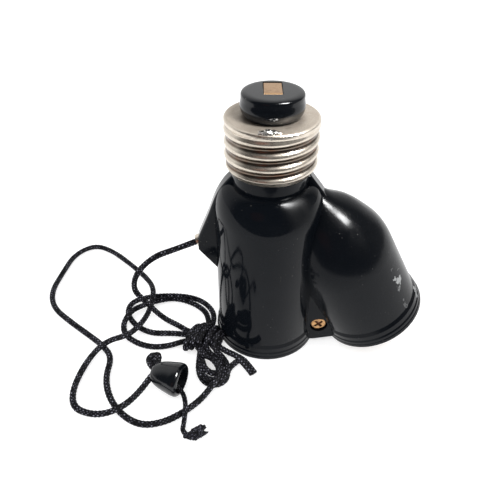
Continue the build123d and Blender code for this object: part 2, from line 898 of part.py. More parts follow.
# ------------------------------------------------------------ pull knob
knob_mouth_r = 5.3
knob_top = Vector(-36.0, -26.6, knob_mouth_r + floor_gap)
knob_mouth = Vector(-26.6, -30.0, knob_mouth_r + floor_gap)
knob_dir = (knob_mouth - knob_top).normalized()
knob_side = Vector(0, 0, 1).cross(knob_dir).normalized()
knob_length = (knob_mouth - knob_top).length
knob_section = Plane(origin=knob_top, x_dir=knob_side, z_dir=knob_side.cross(knob_dir))
knob_axis = Axis(knob_top, knob_dir)
with BuildPart() as pull_knob:
    with BuildSketch(knob_section):
        with BuildLine():
            outer_line = Spline(
                (2.6, 0.0),
                (3.6, 1.4),
                (4.5, 4.0),
                (5.1, 6.8),
                (knob_mouth_r, knob_length - 1.3),
                tangents=[(1, 0.8), (0, 1)],
            )
            lip = ThreePointArc(outer_line @ 1, (5.0, knob_length - 0.4), (4.3, knob_length))
            Polyline(
                lip @ 1,
                (4.0, knob_length),
                (3.3, knob_length - 4.0),
                (1.9, knob_length - 5.6),
                (1.9, 2.6),
                (2.3, 0),
                (2.6, 0),
            )
        make_face()
    revolve(axis=knob_axis)
save(pull_knob, "pull_knob")

bight_r = 1.9
bight_low = Vector(-36.6, -24.8, 5.5)
bight_high = Vector(-37.1, -21.4, 4.6)
bight_dir = (bight_high - bight_low).normalized()
with BuildPart() as knob_bight:
    with BuildSketch(Plane(origin=bight_low - bight_dir * bight_r, z_dir=bight_dir)):
        Circle(bight_r)
    extrude(amount=(bight_high - bight_low).length + 2 * bight_r)
    fillet(knob_bight.edges(), 0.8 * bight_r)
save(knob_bight, "knob_bight")

with BuildPart() as end_knot:
    with BuildSketch(Plane(origin=(-23.4, -46.1, 1.75), z_dir=(0.95, 0.3, 0))):
        Ellipse(1.6, 1.6)
    with BuildSketch(Plane(origin=(-18.4, -44.4, 1.9), z_dir=(0.95, 0.3, 0))):
        Ellipse(1.9, 1.7)
    loft()
save(end_knot, "end_knot")
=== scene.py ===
import math

import bpy
import numpy as np
from mathutils import Matrix, Vector


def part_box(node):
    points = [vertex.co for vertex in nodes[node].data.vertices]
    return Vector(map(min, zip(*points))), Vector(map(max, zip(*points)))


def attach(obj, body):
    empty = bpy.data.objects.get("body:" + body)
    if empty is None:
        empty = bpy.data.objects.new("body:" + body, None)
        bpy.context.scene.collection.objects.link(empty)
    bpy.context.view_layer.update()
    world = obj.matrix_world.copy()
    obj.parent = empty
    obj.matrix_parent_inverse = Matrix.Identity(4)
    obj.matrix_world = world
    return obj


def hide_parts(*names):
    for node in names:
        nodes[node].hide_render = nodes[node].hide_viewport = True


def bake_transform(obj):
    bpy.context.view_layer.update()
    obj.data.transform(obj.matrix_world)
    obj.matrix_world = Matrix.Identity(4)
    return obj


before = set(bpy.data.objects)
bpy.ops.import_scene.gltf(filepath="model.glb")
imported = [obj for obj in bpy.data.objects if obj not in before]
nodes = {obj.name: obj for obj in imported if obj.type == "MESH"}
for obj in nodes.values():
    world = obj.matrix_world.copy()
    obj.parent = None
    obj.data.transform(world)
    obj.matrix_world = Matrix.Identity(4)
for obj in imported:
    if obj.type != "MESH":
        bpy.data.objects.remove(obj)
bpy.context.view_layer.update()
scene = bpy.context.scene
MM = 0.001


# ------------------------------------------------------------ camera
SENSOR = 36.0  # mm wide
LENS = 34.56  # mm
CAMERA_PLACE = (-0.005445, -0.1213, 0.130576)
CAMERA_FORWARD = (-0.00186, 0.78150, -0.62390)
CAMERA_ROLL = 0.004  # radians

cam_data = bpy.data.cameras.new("camera")
cam_data.sensor_width = SENSOR
cam_data.lens = LENS
cam_data.clip_start = 0.005
cam_data.clip_end = 20.0
camera = bpy.data.objects.new("camera", cam_data)
scene.collection.objects.link(camera)
forward = Vector(CAMERA_FORWARD).normalized()
level = forward.cross(Vector((0, 0, 1))).normalized()
side = math.cos(CAMERA_ROLL) * level + math.sin(CAMERA_ROLL) * level.cross(forward)
turned = Matrix((side, side.cross(forward), -forward)).transposed()
camera.matrix_world = Matrix.Translation(CAMERA_PLACE) @ turned.to_4x4()
scene.camera = camera


# ------------------------------------------------------------ meshes
def link(name, mesh, material=None):
    """A mesh as a smooth object in the scene."""
    mesh.polygons.foreach_set("use_smooth", [True] * len(mesh.polygons))
    obj = bpy.data.objects.new(name, mesh)
    scene.collection.objects.link(obj)
    if material is not None:
        mesh.materials.append(material)
    return obj


def skin(name, rings, closed=False):
    """A mesh over rings of points, (ring, column, xyz), with (column, ring) as its UV.

    The last ring joins the first if closed; if not, both ends are capped.
    """
    count, columns = rings.shape[:2]
    i, j = np.meshgrid(np.arange(count if closed else count - 1), np.arange(columns), indexing="ij")
    i, j = i.ravel(), j.ravel()
    i2, j2 = (i + 1) % count, (j + 1) % columns
    quads = np.stack([i * columns + j, i * columns + j2, i2 * columns + j2, i2 * columns + j], axis=1)
    faces = quads.tolist()
    if not closed:
        faces.append(list(range(columns))[::-1])
        faces.append(list(range((count - 1) * columns, count * columns)))
    mesh = bpy.data.meshes.new(name)
    mesh.from_pydata(rings.reshape(-1, 3).tolist(), [], faces)
    layer = mesh.uv_layers.new(name="UVMap")
    uv = np.zeros((len(mesh.loops), 2), np.float32)
    corners = np.stack([j, i, j + 1, i, j + 1, i + 1, j, i + 1], axis=1).reshape(-1, 2).astype(np.float32)
    uv[: len(corners)] = corners / np.array([columns, 1.0], np.float32)
    layer.data.foreach_set("uv", uv.ravel())
    mesh.validate()
    return mesh


NOISE_WAVES = 7


def noise(points, size, seed=0):
    """Smooth values, mostly from -1 to 1, at points, for a feature size: a sum of fixed sines."""
    rng = np.random.default_rng(seed)
    total = np.zeros(len(points))
    for _ in range(NOISE_WAVES):
        way = rng.normal(size=3)
        way /= np.linalg.norm(way)
        total += np.sin(points @ way * (2 * math.pi / size) * rng.uniform(0.6, 1.6) + rng.uniform(0, 6.28))
    return total / (NOISE_WAVES / 2)


# ------------------------------------------------------------ cord
CORD = 0.002  # diameter
STRANDS = 6  # in each direction round the braid
LAY = 0.0078  # length of one turn of a strand
FILAMENTS = 6  # side by side in a strand
WEAVE_STEP = 0.00016  # between the mesh's rings
WEAVE_COLUMNS = 36
CREST = 1.03  # the top of a strand, in radii of the cord
SIDE_DIP = 0.17  # how far a strand drops at its sides
CROSSING_DIP = 0.10  # and where it passes under


def nurbs_line(name, points):
    """The smooth line of a route: the points of its NURBS spline."""
    curve = bpy.data.curves.new(name, "CURVE")
    curve.dimensions = "3D"
    curve.resolution_u = 24
    spline = curve.splines.new("NURBS")
    spline.points.add(len(points) - 1)
    for point, place in zip(spline.points, points):
        point.co = (*place, 1.0)
    spline.order_u = 3
    spline.use_endpoint_u = True
    route = bpy.data.objects.new(name, curve)
    mesh = bpy.data.meshes.new_from_object(route)
    line = np.array([v.co for v in mesh.vertices], float).reshape(-1, 3)
    bpy.data.meshes.remove(mesh)
    bpy.data.objects.remove(route)
    bpy.data.curves.remove(curve)
    return line


def even(line, step):
    """The line's points again, evenly spaced, and how far along the line each one is."""
    run = np.concatenate([[0], np.cumsum(np.linalg.norm(np.diff(line, axis=0), axis=1))])
    at = np.linspace(0, run[-1], max(8, int(round(run[-1] / step))))
    return np.stack([np.interp(at, run, line[:, k]) for k in range(3)], axis=1), at


def along_frames(line):
    """Tangent and two sideways directions at each point, turned as little as possible along the line."""
    tangent = np.gradient(line, axis=0)
    tangent /= np.linalg.norm(tangent, axis=1)[:, None]
    first = np.cross(tangent[0], (0.31, 0.22, 0.93))
    across = [first / np.linalg.norm(first)]
    for t in tangent[1:]:
        v = across[-1] - t * (across[-1] @ t)
        across.append(v / np.linalg.norm(v))
    across = np.array(across)
    return tangent, across, np.cross(tangent, across)


def braid(name, line, material, radius=CORD / 2, flat=None, taper=None, seed=0):
    """A braided tube along a line: strands that pass over and under each other in its surface.

    flat gives how much wider than high the cord is, and taper its thickness, both for the
    share of its length from 0 to 1.
    """
    centres, run = even(line, WEAVE_STEP)
    tangent, across, up = along_frames(centres)
    turn = np.arange(WEAVE_COLUMNS) / WEAVE_COLUMNS
    # u and v count the strands of the two directions; in each cell one of the two is on top
    s, t = np.meshgrid(run / LAY, turn, indexing="ij")
    u, v = STRANDS * (t + s), STRANDS * (t - s)
    over = (np.floor(u) + np.floor(v)) % 2 == 0
    across_strand = np.where(over, u % 1, v % 1)
    along_strand = np.where(over, v % 1, u % 1)
    round_top = np.sin(math.pi * across_strand) ** 0.6
    arch = np.sin(math.pi * along_strand)
    height = CREST - SIDE_DIP * (1 - round_top) - CROSSING_DIP * (1 - arch)
    wander = 1 + 0.03 * noise(centres, 0.009, seed)
    size = radius * wander if taper is None else radius * wander * taper(run / run[-1])
    angle = turn * 2 * math.pi
    offset = size[:, None, None] * height[:, :, None] * (
        np.cos(angle)[None, :, None] * across[:, None] + np.sin(angle)[None, :, None] * up[:, None]
    )
    if flat is not None:
        level = np.cross(tangent, (0, 0, 1))
        level /= np.linalg.norm(level, axis=1)[:, None]
        rise = np.cross(level, tangent)
        wide = flat(run / run[-1])[:, None]
        sideways = (offset * level[:, None]).sum(2)
        upward = (offset * rise[:, None]).sum(2)
        offset += (sideways * (wide - 1))[:, :, None] * level[:, None]
        offset += (upward * (1 / wide - 1))[:, :, None] * rise[:, None]
    rings = centres[:, None] + offset
    mesh = skin(name, rings)
    mesh.uv_layers[0].name = "weave"
    data = mesh.uv_layers[0].data
    uv = np.zeros(len(data) * 2, np.float32)
    data.foreach_get("uv", uv)
    uv = uv.reshape(-1, 2)
    uv[:, 1] *= (run[1] - run[0]) / LAY
    data.foreach_set("uv", uv.ravel())
    return link(name, mesh, material), centres


# ------------------------------------------------------------ materials
class Shader:
    """A material being built: one Principled shader and the nodes that feed it.

    Any other socket is set by its name, with _ for a space. Textures are laid in metres.
    """

    def __init__(self, name, color, rough, metal=0.0, **sockets):
        self.material = bpy.data.materials.new(name)
        self.material.use_nodes = True
        self.tree = self.material.node_tree
        self.out = self.tree.nodes["Principled BSDF"]
        self.out.inputs["Base Color"].default_value = (*color, 1)
        self.out.inputs["Roughness"].default_value = rough
        self.out.inputs["Metallic"].default_value = metal
        for socket, value in sockets.items():
            self.out.inputs[socket.replace("_", " ")].default_value = value
        self.place = self.node("ShaderNodeTexCoord").outputs["Object"]
        self.bumps = None

    def node(self, kind, **settings):
        made = self.tree.nodes.new(kind)
        for key, value in settings.items():
            setattr(made, key, value)
        return made

    def feed(self, socket, value):
        """Give an input another node's output, or a plain value."""
        if isinstance(value, bpy.types.NodeSocket):
            self.tree.links.new(value, socket)
        else:
            socket.default_value = value

    def math(self, how, a, b=0.0, c=0.0):
        made = self.node("ShaderNodeMath", operation=how)
        for socket, value in zip(made.inputs, (a, b, c)):
            self.feed(socket, value)
        return made.outputs[0]

    def noise(self, scale, detail=3.0, rough=0.55, stretch=None, twist=0.0):
        made = self.node("ShaderNodeTexNoise")
        made.inputs["Scale"].default_value = scale
        made.inputs["Detail"].default_value = detail
        made.inputs["Roughness"].default_value = rough
        made.inputs["Distortion"].default_value = twist
        self.feed(made.inputs["Vector"], self.stretched(stretch))
        return made.outputs["Fac"]

    def stretched(self, stretch):
        """The place a texture is read at, scaled along x, y and z."""
        if stretch is None:
            return self.place
        made = self.node("ShaderNodeMapping")
        made.inputs["Scale"].default_value = stretch
        self.feed(made.inputs["Vector"], self.place)
        return made.outputs[0]

    def cells(self, scale):
        """Distance to the nearest of many scattered points: specks, when it is small."""
        made = self.node("ShaderNodeTexVoronoi")
        made.inputs["Scale"].default_value = scale
        self.feed(made.inputs["Vector"], self.place)
        return made.outputs["Distance"]

    def ramp(self, value, low, high, to_low=0.0, to_high=1.0):
        """A value brought from one range to another, and held inside it."""
        made = self.node("ShaderNodeMapRange", clamp=True)
        for key, number in (("From Min", low), ("From Max", high), ("To Min", to_low), ("To Max", to_high)):
            made.inputs[key].default_value = number
        self.feed(made.inputs["Value"], value)
        return made.outputs[0]

    def near(self, centre, inner, outer):
        """1 within inner metres of a point, falling to 0 at outer metres."""
        made = self.node("ShaderNodeVectorMath", operation="DISTANCE")
        self.feed(made.inputs[0], self.place)
        made.inputs[1].default_value = centre
        return self.ramp(made.outputs["Value"], inner, outer, 1.0, 0.0)

    def mix(self, share, a, b):
        made = self.node("ShaderNodeMix", data_type="RGBA")
        self.feed(made.inputs["Factor"], share)
        for socket, value in ((made.inputs[6], a), (made.inputs[7], b)):
            self.feed(socket, (*value, 1) if isinstance(value, tuple) else value)
        return made.outputs[2]

    def color(self, value):
        self.feed(self.out.inputs["Base Color"], value)

    def rough(self, value):
        self.feed(self.out.inputs["Roughness"], value)

    def metal(self, value):
        self.feed(self.out.inputs["Metallic"], value)

    def bump(self, height, distance, strength=1.0):
        """Relief, added to what was there."""
        made = self.node("ShaderNodeBump")
        made.inputs["Distance"].default_value = distance
        made.inputs["Strength"].default_value = strength
        self.feed(made.inputs["Height"], height)
        if self.bumps is not None:
            self.feed(made.inputs["Normal"], self.bumps)
        self.bumps = made.outputs[0]
        self.feed(self.out.inputs["Normal"], self.bumps)


PAINT_RAG = 0.0032  # how far noise moves a patch's outline
# old white paint, nearly all on the side arm: centre, radius and how much of it is left
PAINT_CHIPS = [
    ((0.04046, -0.00997, 0.02960), 0.00105, 0.9),
    ((0.04150, -0.00890, 0.02990), 0.00095, 0.9),
    ((0.03914, -0.01075, 0.03116), 0.00055, 0.85),
    ((0.04140, -0.00960, 0.02850), 0.00060, 0.85),
    ((0.04129, -0.01062, 0.02735), 0.00060, 0.5),
    ((0.03758, -0.01033, 0.03471), 0.00042, 0.16),
    ((0.04038, -0.00799, 0.03287), 0.00042, 0.16),
    ((0.04925, -0.00391, 0.02059), 0.00080, 0.8),
    ((0.04969, -0.00510, 0.01943), 0.00075, 0.8),
    ((0.04340, -0.01104, 0.02287), 0.00042, 0.25),
    ((0.04420, -0.01139, 0.02076), 0.00055, 0.2),
    ((0.04470, -0.01110, 0.02010), 0.00045, 0.2),
    ((-0.00468, -0.01184, 0.05979), 0.00022, 0.5),
]
ARM_START, ARM_FULL = 0.011, 0.017  # x where the side arm's duller polish begins and is full
WORN_SPOT = (0.008, -0.0125, 0.057)  # on the barrel's shoulder


def make_bakelite(name, shine, dull=0.0):
    """Old polished bakelite: smears, fine scratches, dust and chips of paint.

    shine is its specular level and dull an addition to its roughness.
    """
    s = Shader(name, (0.006, 0.0065, 0.0075), 0.06, IOR=1.5, Specular_IOR_Level=shine)
    cloud = s.noise(140, 4)
    fine = s.noise(2600, 2)
    smear = s.noise(300, 3, stretch=(1.0, 1.0, 0.25), twist=0.6)
    scratches = s.ramp(s.noise(900, 2, 0.7, stretch=(9.0, 1.0, 0.6)), 0.66, 0.70)
    cross = s.ramp(s.noise(700, 2, 0.7, stretch=(0.7, 6.0, 7.0), twist=0.3), 0.68, 0.71)
    marks = s.math("MAXIMUM", scratches, cross)
    dust = s.ramp(s.cells(620), 0.06, 0.10, 1.0, 0.0)
    dust = s.math("MULTIPLY", dust, s.ramp(s.noise(90), 0.52, 0.62))
    black = s.mix(cloud, (0.0020, 0.0028, 0.0042), (0.0040, 0.0050, 0.0068))
    dusted = s.mix(s.math("MULTIPLY", dust, 0.35), black, (0.22, 0.21, 0.19))
    # the paint's patches are spheres round points on the surface, read at a place noise has moved
    ragged = s.node("ShaderNodeVectorMath", operation="MULTIPLY_ADD")
    shift = s.node("ShaderNodeTexNoise")
    shift.inputs["Scale"].default_value = 900
    shift.inputs["Detail"].default_value = 4
    s.feed(shift.inputs["Vector"], s.place)
    s.feed(ragged.inputs[0], shift.outputs["Color"])
    ragged.inputs[1].default_value = (PAINT_RAG, PAINT_RAG, PAINT_RAG)
    s.feed(ragged.inputs[2], s.place)
    paint = 0.0
    for centre, radius, strength in PAINT_CHIPS:
        far = s.node("ShaderNodeVectorMath", operation="DISTANCE")
        s.feed(far.inputs[0], ragged.outputs[0])
        far.inputs[1].default_value = [c + PAINT_RAG / 2 for c in centre]
        spot = s.ramp(far.outputs["Value"], radius, radius * 1.25, strength, 0.0)
        paint = s.math("MAXIMUM", paint, spot)
    s.color(s.mix(paint, dusted, (0.36, 0.37, 0.37)))
    where = s.node("ShaderNodeSeparateXYZ")
    s.feed(where.inputs[0], s.place)
    on_arm = s.ramp(where.outputs[0], ARM_START, ARM_FULL)
    rough = s.math("MULTIPLY_ADD", on_arm, 0.13, s.ramp(smear, 0.35, 0.75, 0.045, 0.12))
    rough = s.math("ADD", rough, s.math("MULTIPLY", marks, 0.12))
    rough = s.math("ADD", rough, s.math("MULTIPLY", paint, 0.6))
    rough = s.math("MULTIPLY_ADD", s.near(WORN_SPOT, 0.0025, 0.0065), 0.35, rough)
    s.rough(s.math("ADD", s.math("ADD", rough, dull), s.math("MULTIPLY", dust, 0.4)))
    s.bump(cloud, 0.00006, 0.35)
    s.bump(fine, 0.000004, 0.5)
    s.bump(marks, 0.000006, 0.5)
    s.bump(paint, 0.00004, 0.8)
    return s.material


def make_metal(name, color, dark, rough, grain=(1.0, 1.0, 1.0)):
    """Plated or bare metal: tarnish in clouds, fine wear lines, pits."""
    s = Shader(name, color, rough, 1.0)
    cloud = s.noise(420, 5, 0.65)
    lines = s.noise(5200, 3, 0.7, stretch=grain)
    spots = s.ramp(s.cells(1500), 0.05, 0.16, 1.0, 0.0)
    spots = s.math("MULTIPLY", spots, s.ramp(s.noise(260), 0.5, 0.66))
    tarnish = s.math("MAXIMUM", s.ramp(cloud, 0.52, 0.8), s.math("MULTIPLY", spots, 0.4))
    s.color(s.mix(tarnish, color, dark))
    worn = s.ramp(lines, 0.25, 0.75, rough * 0.6, rough * 1.4)
    s.rough(s.math("ADD", worn, s.math("MULTIPLY", tarnish, 0.15)))
    s.bump(lines, 0.000006, 0.6)
    s.bump(cloud, 0.00003, 0.3)
    s.bump(spots, 0.000015, -0.5)
    return s.material


def make_screw_brass():
    """The brass screw: bright on the crown, dark with old dirt in its recess and round its edge."""
    s = Shader("screw_brass", (0.72, 0.42, 0.12), 0.2, 1.0)
    low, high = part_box("crotch_screw")
    place = s.node("ShaderNodeSeparateXYZ")
    s.feed(place.inputs[0], s.place)
    off = [s.math("SUBTRACT", place.outputs[k], (low[k] + high[k]) / 2) for k in (0, 2)]
    out = s.math("SQRT", s.math("ADD", s.math("POWER", off[0], 2.0), s.math("POWER", off[1], 2.0)))
    cloud = s.noise(900, 4, 0.7)
    deep = s.ramp(place.outputs[1], low.y + 0.00018, low.y + 0.0004)
    edge = s.math("MULTIPLY", s.ramp(out, 0.0019, 0.0025), s.ramp(cloud, 0.3, 0.6))
    dirt = s.math("MAXIMUM", s.math("MAXIMUM", deep, edge), s.ramp(cloud, 0.46, 0.64, 0.0, 0.9))
    plate = s.mix(s.noise(500, 3), (0.44, 0.20, 0.05), (0.70, 0.46, 0.25))
    s.color(s.mix(dirt, plate, (0.11, 0.035, 0.012)))
    s.rough(s.math("MULTIPLY_ADD", dirt, 0.3, 0.16))
    s.metal(s.math("MULTIPLY_ADD", dirt, -0.6, 1.0))
    s.bump(cloud, 0.00006, 0.6)
    return s.material


def make_nickel():
    """Rolled nickel plate: bright on the thread, satin on the flat flange, dark in the grooves.

    The screw base's mesh says where it is satin and where a groove is.
    """
    s = Shader("nickel", (0.72, 0.655, 0.565), 0.2, 0.97)
    satin = s.node("ShaderNodeAttribute", attribute_name="satin").outputs["Fac"]
    groove = s.node("ShaderNodeAttribute", attribute_name="groove").outputs["Fac"]
    cloud = s.noise(380, 5, 0.65)
    rings = s.noise(2600, 3, 0.7, stretch=(0.25, 0.25, 3.0))
    grit = s.noise(3600, 4, 0.75)
    spots = s.ramp(s.cells(1150), 0.06, 0.18, 1.0, 0.0)
    spots = s.math("MULTIPLY", spots, s.ramp(s.noise(240), 0.48, 0.62))
    dirt = s.math("MULTIPLY", s.ramp(groove, 0.32, 0.60), s.ramp(cloud, 0.25, 0.75, 0.8, 1.0))
    plate = s.mix(s.ramp(cloud, 0.4, 0.8), (0.72, 0.655, 0.565), (0.58, 0.51, 0.43))
    old_dirt = s.mix(s.ramp(cloud, 0.48, 0.62), (0.085, 0.064, 0.048), (0.15, 0.075, 0.045))
    plate = s.mix(dirt, plate, old_dirt)
    plate = s.mix(s.math("MULTIPLY", spots, 0.6), plate, (0.20, 0.17, 0.14))
    flange = s.math("MULTIPLY", satin, s.ramp(grit, 0.3, 0.7, 0.5, 0.9))
    s.color(s.mix(flange, plate, (0.25, 0.215, 0.18)))
    rough = s.ramp(rings, 0.3, 0.7, 0.20, 0.30)
    rough = s.math("MULTIPLY_ADD", dirt, -0.15, rough)
    s.rough(s.math("ADD", rough, s.math("MULTIPLY", satin, s.ramp(grit, 0.3, 0.7, 0.22, 0.42))))
    s.bump(cloud, 0.00004, 0.4)
    s.bump(rings, 0.000006, 0.5)
    s.bump(s.math("MULTIPLY", grit, satin), 0.00002, 0.8)
    s.bump(spots, 0.00001, -0.6)
    return s.material


def make_braid():
    """Black nylon yarn: fine filaments along each strand, its crown made pale with a painted highlight
    where it would catch the light.
    """
    s = Shader("braid", (0.01, 0.01, 0.012), 0.5, Specular_IOR_Level=0.06)
    # a and b count the strands as u and v do in braid()
    weave = s.node("ShaderNodeUVMap", uv_map="weave").outputs[0]
    split = s.node("ShaderNodeSeparateXYZ")
    s.feed(split.inputs[0], weave)
    turn, run = split.outputs[0], split.outputs[1]
    a = s.math("MULTIPLY", s.math("ADD", turn, run), float(STRANDS))
    b = s.math("MULTIPLY", s.math("SUBTRACT", turn, run), float(STRANDS))
    parity = s.math("FLOORED_MODULO", s.math("ADD", s.math("FLOOR", a), s.math("FLOOR", b)), 2.0)
    a_over = s.math("LESS_THAN", parity, 0.5)
    crown = s.math(
        "MULTIPLY",
        s.math("SINE", s.math("MULTIPLY", s.math("FRACT", a), math.pi)),
        s.math("SINE", s.math("MULTIPLY", s.math("FRACT", b), math.pi)),
    )
    pick = s.node("ShaderNodeMix", data_type="FLOAT")
    for index, value in ((0, a_over), (2, b), (3, a)):
        s.feed(pick.inputs[index], value)
    filament = s.math("SINE", s.math("MULTIPLY", pick.outputs[0], 2 * math.pi * FILAMENTS))
    place = s.noise(1500, 3, 0.7)
    # painted highlight: the strands' crowns, in noisy patches, made pale in the colour, more on the strand
    # that lies on top
    painted_crown_glint = s.math("MULTIPLY", s.ramp(crown, 0.45, 0.95), s.ramp(s.noise(620, 3, 0.8), 0.45, 0.60))
    painted_crown_glint = s.math("MULTIPLY", painted_crown_glint, s.math("MULTIPLY_ADD", a_over, 0.65, 0.3))
    shade = s.mix(s.ramp(place, 0.3, 0.75), (0.0009, 0.0009, 0.0018), (0.0036, 0.0036, 0.0060))
    s.color(s.mix(painted_crown_glint, shade, (0.29, 0.29, 0.35)))
    s.rough(s.ramp(place, 0.3, 0.7, 0.36, 0.6))
    s.bump(filament, 0.00002, 0.7)
    s.bump(place, 0.00004, 0.5)
    return s.material


def make_yarn():
    """The braid's yarn where it is frayed or knotted hard: no pattern left, only threads, with painted
    glints on them.
    """
    s = Shader("yarn", (0.01, 0.01, 0.012), 0.55, Specular_IOR_Level=0.06)
    threads = s.noise(2600, 4, 0.75, twist=1.0)
    # painted highlight: pale glints in noisy patches on the threads, painted into the colour
    painted_glints = s.math("MULTIPLY", s.ramp(threads, 0.53, 0.62), s.ramp(s.noise(900, 3, 0.8), 0.44, 0.58))
    shade = s.mix(threads, (0.001, 0.001, 0.002), (0.004, 0.004, 0.0065))
    s.color(s.mix(painted_glints, shade, (0.20, 0.20, 0.25)))
    s.rough(s.ramp(threads, 0.3, 0.7, 0.4, 0.65))
    s.bump(threads, 0.00008, 0.8)
    return s.material


def make_fibre():
    """Red-brown pressed fibre, with its hair showing."""
    s = Shader("fibre", (0.28, 0.12, 0.07), 0.55)
    cloud = s.noise(500, 5, 0.7)
    hair = s.noise(2400, 3, 0.7, stretch=(1.0, 0.2, 1.0))
    s.color(s.mix(cloud, (0.20, 0.075, 0.04), (0.36, 0.17, 0.10)))
    s.rough(s.ramp(hair, 0.3, 0.7, 0.45, 0.7))
    s.bump(hair, 0.00002, 0.6)
    s.bump(cloud, 0.00004, 0.4)
    return s.material


def make_wire_cover():
    """Old red rubber on the inside wire."""
    s = Shader("wire_cover", (0.4, 0.035, 0.03), 0.35)
    cloud = s.noise(700, 4)
    s.color(s.mix(cloud, (0.30, 0.02, 0.02), (0.48, 0.05, 0.04)))
    s.rough(s.ramp(cloud, 0.3, 0.7, 0.28, 0.45))
    s.bump(s.noise(1500, 3), 0.00002, 0.5)
    return s.material


materials = {
    "bakelite": make_bakelite("bakelite", 0.12),
    "nickel": make_nickel(),
    "copper": make_metal("copper", (0.41, 0.26, 0.145), (0.20, 0.12, 0.07), 0.34, grain=(6.0, 0.3, 1.0)),
    "solder": make_metal("solder", (0.86, 0.83, 0.79), (0.50, 0.45, 0.40), 0.24),
    "brass": make_metal("brass", (0.78, 0.50, 0.17), (0.25, 0.13, 0.05), 0.24),
    "steel": make_metal("steel", (0.62, 0.62, 0.62), (0.28, 0.26, 0.24), 0.28, grain=(4.0, 0.4, 1.0)),
    "fibre": make_fibre(),
    "wire_cover": make_wire_cover(),
    "braid": make_braid(),
    "yarn": make_yarn(),
}
# the CAD nodes that show keep their shape and take a look by the name of their finish
for node in nodes.values():
    for place in node.material_slots:
        finish = place.material.name.split(".")[0] if place.material else None
        if finish in materials:
            place.material = materials[finish]
nodes["crotch_screw"].material_slots[0].material = make_screw_brass()
nodes["pull_knob"].material_slots[0].material = make_bakelite("knob", 0.45, 0.07)
nodes["centre_insulator"].material_slots[0].material = make_bakelite("insulator", 0.3, 0.06)


def piece(obj, body, slot, *stands_for):
    """An object as a visible piece: it rides on a body and may stand for CAD nodes."""
    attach(obj, body)
    if stands_for:
        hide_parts(*stands_for)
    return obj


# ------------------------------------------------------------ cord routes
# from the bush in the fin, round two small turns and through the knot, to the cut end;
# a cord that lies on the floor has its centre at 1.05 mm
LEAD = [
    (-0.02224, 0.0, 0.03745),
    (-0.02940, 0.0, 0.03411),
    (-0.0376, 0.0002, 0.0305),
    (-0.0444, 0.0006, 0.0228),
    (-0.0466, 0.0012, 0.0148),
    (-0.0436, 0.0014, 0.0094),
    (-0.0374, 0.0003, 0.0014),
    (-0.0316, -0.0032, 0.0016),
    (-0.0268, -0.0074, 0.0024),
    (-0.0226, -0.0078, 0.0031),
    # first small turn
    (-0.0196, -0.0050, 0.0020),
    (-0.0187, -0.0004, 0.00105),
    (-0.0194, 0.0044, 0.00105),
    (-0.0234, 0.0094, 0.00105),
    (-0.0296, 0.0120, 0.00105),
    (-0.0370, 0.0126, 0.00105),
    (-0.0452, 0.0116, 0.00105),
    (-0.0504, 0.0090, 0.00105),
    (-0.0514, 0.0040, 0.00105),
    (-0.0490, -0.0006, 0.00105),
    (-0.0452, -0.0044, 0.00105),
    (-0.0400, -0.0068, 0.00105),
    (-0.0336, -0.0066, 0.00105),
    (-0.0282, -0.0080, 0.0020),
    (-0.0236, -0.0098, 0.0031),
    # second small turn
    (-0.0204, -0.0066, 0.0030),
    (-0.0206, -0.0004, 0.00105),
    (-0.0224, 0.0046, 0.00105),
    (-0.0280, 0.0090, 0.00105),
    (-0.0350, 0.0112, 0.00105),
    (-0.0416, 0.0094, 0.00105),
    (-0.0460, 0.0058, 0.0022),
    (-0.0494, 0.0020, 0.0032),
    (-0.0514, -0.0032, 0.0018),
    (-0.0496, -0.0078, 0.00105),
    (-0.0450, -0.0112, 0.00105),
    (-0.0398, -0.0130, 0.00105),
    (-0.0340, -0.0126, 0.00105),
    (-0.0284, -0.0108, 0.0018),
    (-0.0236, -0.0116, 0.0028),
    (-0.0176, -0.0126, 0.0022),
    (-0.0132, -0.0154, 0.0016),
    (-0.0098, -0.0176, 0.0023),
    (-0.0068, -0.0204, 0.0017),
    (-0.0044, -0.0240, 0.0013),
]

